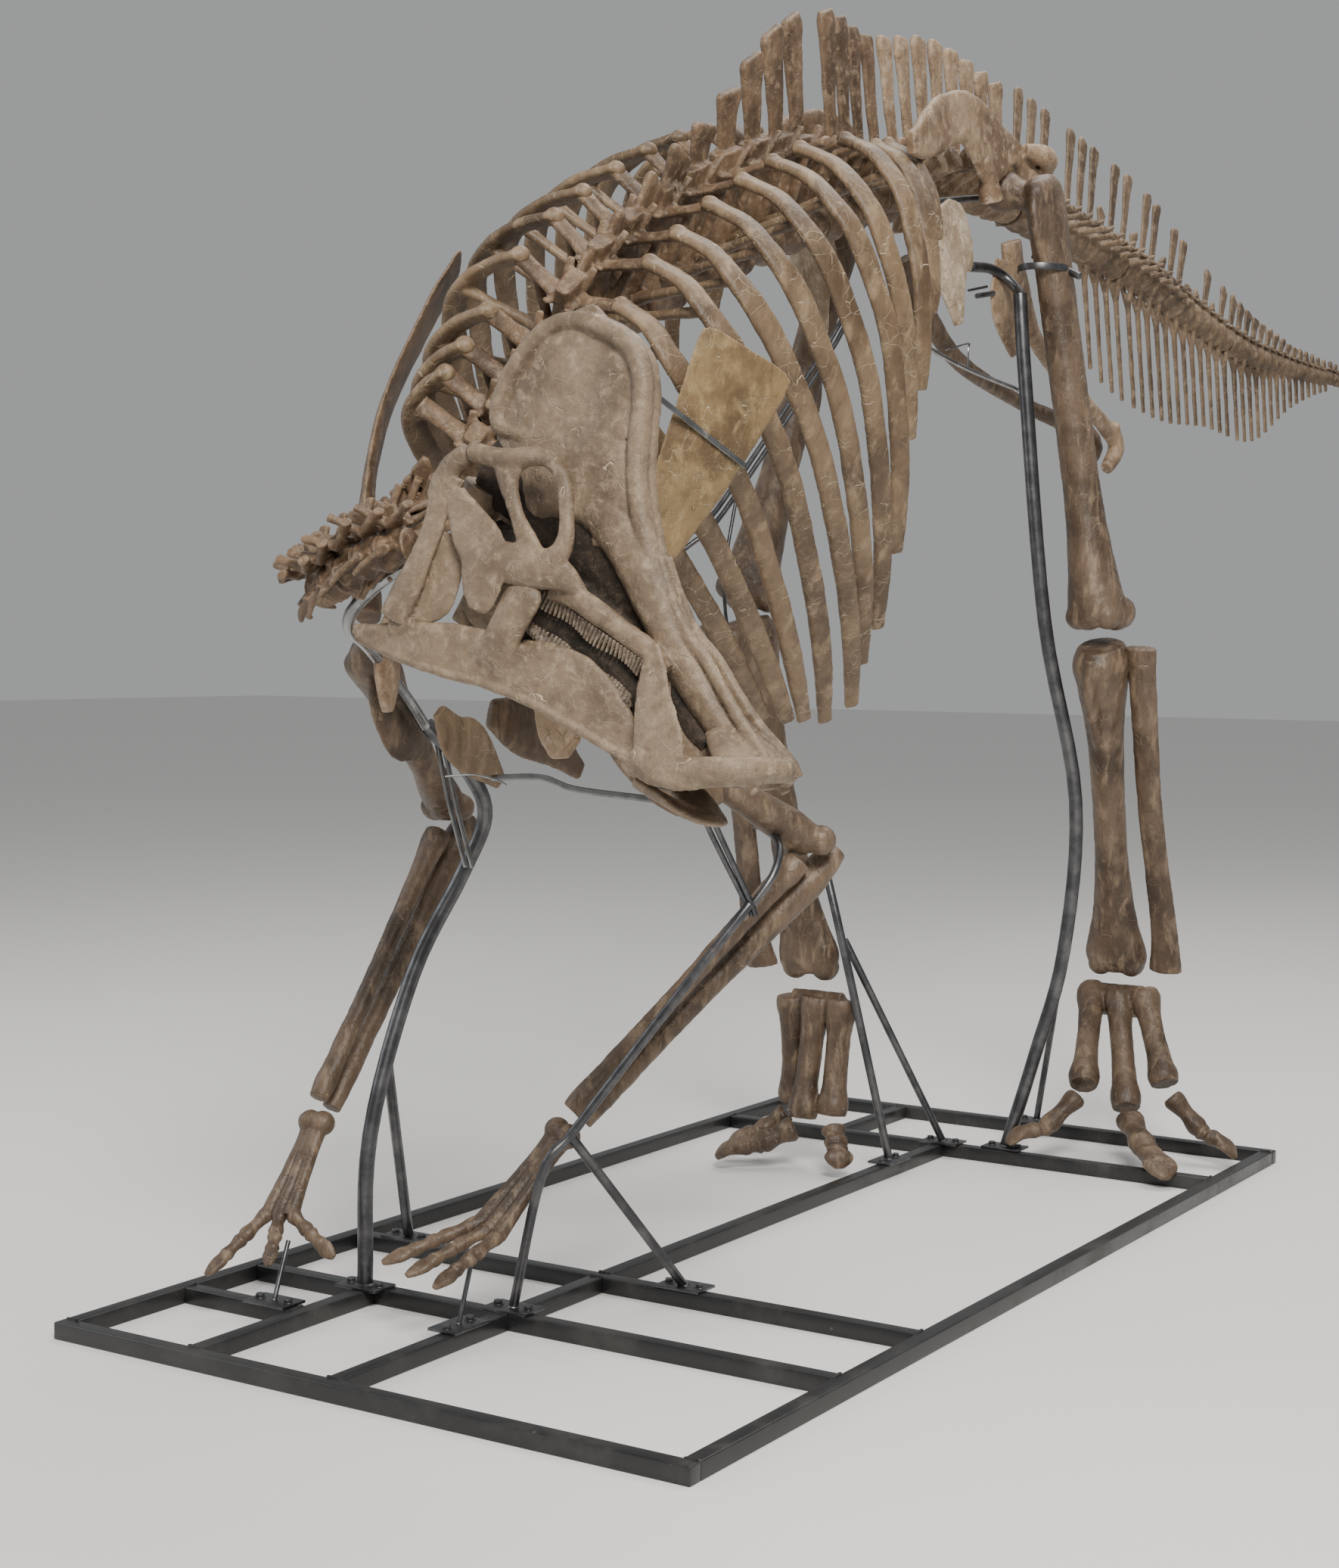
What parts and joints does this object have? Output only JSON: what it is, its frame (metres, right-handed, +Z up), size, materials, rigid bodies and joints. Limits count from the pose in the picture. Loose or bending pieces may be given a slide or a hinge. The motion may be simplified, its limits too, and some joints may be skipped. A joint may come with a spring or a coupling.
{
  "type": "mounted dinosaur skeleton",
  "caption": "Life-size mounted skeleton of a helmet-crested duck-billed dinosaur, head lowered to browse, on steel posts and a welded floor frame.",
  "frame": {"origin": "bottom centre of the bounding box, on the floor under the floor frame", "axes": "+Z up; the animal faces -Y and its left side is +X"},
  "size_m": [1.595, 6.953, 2.9855],
  "materials": {
    "bone_brown": "dark brown mineralised fossil bone, satin, fine pale cracks",
    "bone_tan": "tan-brown fossil bone, satin, fine pale cracks",
    "bone_skull": "ivory-tan fossil bone, satin, brown mottling",
    "frame_paint": "near-black semi-gloss paint on square steel tube",
    "post_steel": "dark blued steel rod and plate"
  },
  "bodies": {
    "root": {"coracoid_left": "bone_tan", "coracoid_right": "bone_tan", "femur_left": "bone_brown", "femur_right": "bone_brown", "fibula_left": "bone_tan", "fibula_right": "bone_tan", "floor_frame": "frame_paint", "hand_left": "bone_brown", "hand_right": "bone_brown", "humerus_left": "bone_brown", "humerus_right": "bone_brown", "ilium_left": "bone_tan", "ilium_right": "bone_tan", "ischium_left": "bone_tan", "ischium_right": "bone_brown", "mandible": "bone_skull", "metatarsus_left": "bone_brown", "metatarsus_right": "bone_brown", "neck_front": "bone_tan", "neck_rear": "bone_tan", "post_arm": "post_steel", "post_hip": "post_steel", "post_neck": "post_steel", "post_shank_left": "post_steel", "post_shank_right": "post_steel", "pubis_left": "bone_skull", "pubis_right": "bone_skull", "radius_left": "bone_brown", "radius_right": "bone_brown", "rib_cage_left": "bone_tan", "rib_cage_right": "bone_tan", "rod_hand_left": "post_steel", "rod_hand_right": "post_steel", "sacrum": "bone_tan", "scapula_left": "bone_tan", "scapula_right": "bone_tan", "skull": "bone_skull", "sternal_left": "bone_brown", "sternal_right": "bone_tan", "tail_1": "bone_brown", "tail_2": "bone_brown", "tail_3": "bone_brown", "tail_4": "bone_brown", "tibia_left": "bone_brown", "tibia_right": "bone_brown", "toe_III_left": "bone_brown", "toe_III_right": "bone_brown", "toe_II_left": "bone_brown", "toe_II_right": "bone_brown", "toe_IV_left": "bone_brown", "toe_IV_right": "bone_brown", "ulna_left": "bone_brown", "ulna_right": "bone_brown"}
  },
  "joints": []
}
